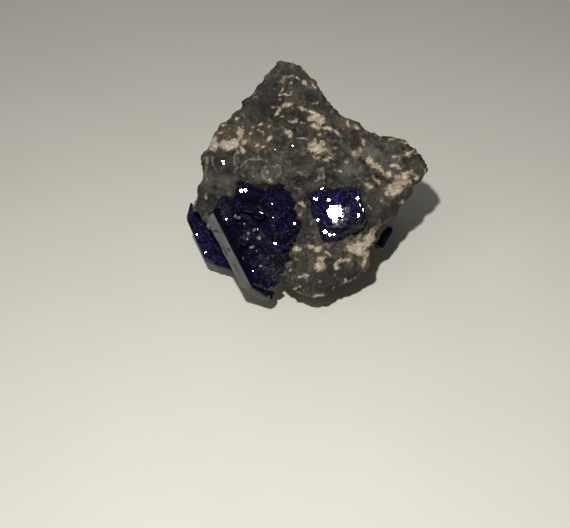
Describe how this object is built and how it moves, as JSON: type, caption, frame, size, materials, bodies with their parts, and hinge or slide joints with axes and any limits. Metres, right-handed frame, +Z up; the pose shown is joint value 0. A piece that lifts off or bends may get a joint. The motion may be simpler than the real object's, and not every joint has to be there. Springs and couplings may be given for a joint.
{
  "type": "azurite mineral specimen",
  "caption": "Lump of dark grey host rock with a cream crust and deep blue azurite crystals on its sloping face; rests on its broken base.",
  "frame": {"origin": "on the table under the middle of the specimen's bounding box", "axes": "+Z up from the flat base; the display face with the crystals leans back and is turned towards -Y; +X to the right of someone looking at that face"},
  "size_m": [0.0298, 0.0288, 0.0247],
  "materials": {
    "host_rock": "fine-grained broken rock, matt, with a cream crust in patches",
    "azurite": "crystal faces, glassy, very dark blue and slightly see-through"
  },
  "bodies": {
    "root": {"host_rock": "host_rock", "azurite_tablet": "azurite", "azurite_rosette": "azurite", "azurite_side_blade": "azurite", "azurite_underside_crystal": "azurite"}
  },
  "joints": []
}
